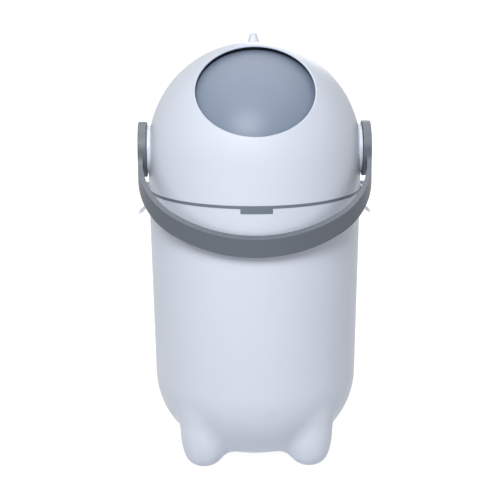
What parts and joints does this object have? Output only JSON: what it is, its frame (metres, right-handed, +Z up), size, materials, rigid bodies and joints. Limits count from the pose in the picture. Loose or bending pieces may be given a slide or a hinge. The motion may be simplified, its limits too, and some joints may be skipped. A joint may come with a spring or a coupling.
{
  "type": "waste disposal pail",
  "caption": "Tall round floor pail with a domed lift-off head, a turning ball drum with a cup behind a slanted round mouth, a flip-over handle and side latches.",
  "frame": {"origin": "on the floor, under the centre of the round pail", "axes": "+Z up, -Y towards the front with the mouth and the resting handle, +X to the right as seen from the front"},
  "size_m": [0.2742, 0.2595, 0.5024],
  "materials": {
    "white_plastic": "cool white moulded plastic with a soft sheen",
    "pale_plastic": "plain off-white moulded plastic",
    "grey_plastic": "fine matt grey",
    "ball_plastic": "satin blue-grey",
    "ring_plastic": "matt blue-grey",
    "rubber": "soft dark lip",
    "steel": "plain zinc-plated"
  },
  "bodies": {
    "pail": {"pail_body": "white_plastic", "bag_ring": "ring_plastic"},
    "head": {"head_shell": "white_plastic", "bush_left": "pale_plastic", "bush_right": "pale_plastic", "wiper_seal": "rubber", "drum_cradle": "pale_plastic", "cradle_seal": "rubber", "cradle_screws": "steel", "latch_pin_left": "steel", "latch_pin_right": "steel"},
    "drum": {"drum_dome": "ball_plastic", "drum_back": "ball_plastic", "cup": "ball_plastic", "drum_screws": "steel", "axle_left": "grey_plastic", "axle_right": "grey_plastic", "handle": "grey_plastic", "hub_screws": "steel"},
    "latch_l": {"latch_left": "white_plastic"},
    "latch_r": {"latch_right": "white_plastic"}
  },
  "joints": [
    {"name": "head_lift", "type": "slide", "parent": "pail", "child": "head", "axis": [0, 0, 1], "range_m": [0, 0.25]},
    {"name": "drum_turn", "type": "hinge", "parent": "head", "child": "drum", "pos_m": [0, 0, 0.37], "axis": [-1, 0, 0], "range_deg": [0, 180]},
    {"name": "latch_left_turn", "type": "hinge", "parent": "head", "child": "latch_l", "pos_m": [-0.1288, 0, 0.32], "axis": [0, 1, 0], "range_deg": [0, 60]},
    {"name": "latch_right_turn", "type": "hinge", "parent": "head", "child": "latch_r", "pos_m": [0.1288, 0, 0.32], "axis": [0, -1, 0], "range_deg": [0, 60]}
  ]
}
